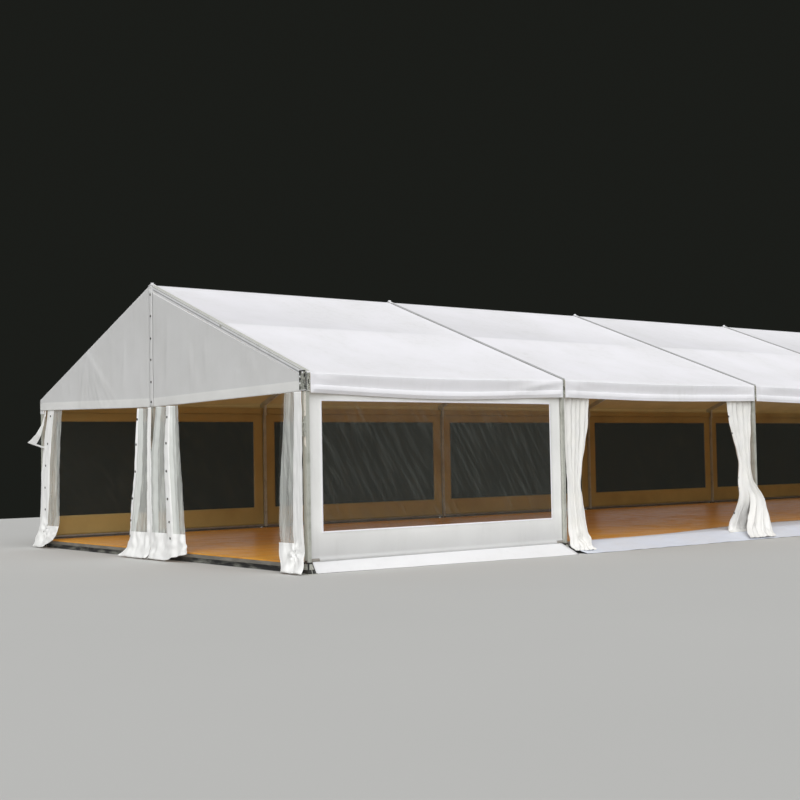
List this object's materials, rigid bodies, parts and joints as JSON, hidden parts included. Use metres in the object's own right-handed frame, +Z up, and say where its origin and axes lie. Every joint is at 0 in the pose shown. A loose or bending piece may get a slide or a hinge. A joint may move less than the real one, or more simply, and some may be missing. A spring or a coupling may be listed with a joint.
{
  "type": "frame marquee tent",
  "caption": "Clear-span frame marquee with white pitched roof bays, clear-window walls, open front bays, an open gable with drawn curtains, and a raised timber floor.",
  "frame": {"origin": "on the ground under the middle of the marquee", "axes": "+X along the ridge away from the open gable, +Y towards the closed back side, +Z up"},
  "size_m": [25.84, 9.84, 4.55],
  "materials": {
    "leg_aluminium": "weathered mill aluminium with galvanised steel feet",
    "rafter_aluminium": "weathered mill aluminium with galvanised brackets",
    "purlin_aluminium": "mill aluminium",
    "roof_pvc": "white coated roof cloth, softly glossy",
    "wall_pvc": "white coated wall cloth, softly glossy",
    "clear_pvc": "clear flexible film with faint streaks",
    "floor_boards": "satin orange-brown boards",
    "strip_pvc": "pale matt floor covering",
    "curtain_cloth": "white coated cloth with clear panels, gathered"
  },
  "bodies": {
    "root": {"front_leg_1": "leg_aluminium", "front_leg_2": "leg_aluminium", "front_leg_3": "leg_aluminium", "front_leg_4": "leg_aluminium", "front_leg_5": "leg_aluminium", "front_leg_6": "leg_aluminium", "back_leg_1": "leg_aluminium", "back_leg_2": "leg_aluminium", "back_leg_3": "leg_aluminium", "back_leg_4": "leg_aluminium", "back_leg_5": "leg_aluminium", "back_leg_6": "leg_aluminium", "rafters_1": "rafter_aluminium", "rafters_2": "rafter_aluminium", "rafters_3": "rafter_aluminium", "rafters_4": "rafter_aluminium", "rafters_5": "rafter_aluminium", "rafters_6": "rafter_aluminium", "ridge_purlin": "purlin_aluminium", "mid_purlin_front": "purlin_aluminium", "mid_purlin_back": "purlin_aluminium", "eaves_purlin_front": "purlin_aluminium", "eaves_purlin_back": "purlin_aluminium", "gable_post_near": "leg_aluminium", "gable_post_far": "leg_aluminium", "roof_1": "roof_pvc", "roof_2": "roof_pvc", "roof_3": "roof_pvc", "roof_4": "roof_pvc", "roof_5": "roof_pvc", "gable_sheet_near": "roof_pvc", "gable_sheet_far": "roof_pvc", "back_wall_1": "wall_pvc", "back_wall_2": "wall_pvc", "back_wall_3": "wall_pvc", "back_wall_4": "wall_pvc", "back_wall_5": "wall_pvc", "front_wall_1": "wall_pvc", "front_wall_5": "wall_pvc", "gable_wall_front": "wall_pvc", "gable_wall_back": "wall_pvc", "back_window_1": "clear_pvc", "back_window_2": "clear_pvc", "back_window_3": "clear_pvc", "back_window_4": "clear_pvc", "back_window_5": "clear_pvc", "front_window_1": "clear_pvc", "front_window_5": "clear_pvc", "gable_window_front": "clear_pvc", "gable_window_back": "clear_pvc", "floor": "floor_boards", "entrance_strip": "strip_pvc", "front_curtain_2": "curtain_cloth", "front_curtain_3": "curtain_cloth", "front_curtain_4": "curtain_cloth", "front_curtain_5": "curtain_cloth", "gable_curtain_front": "curtain_cloth", "gable_curtain_middle": "curtain_cloth", "gable_curtain_back": "curtain_cloth"}
  },
  "joints": []
}
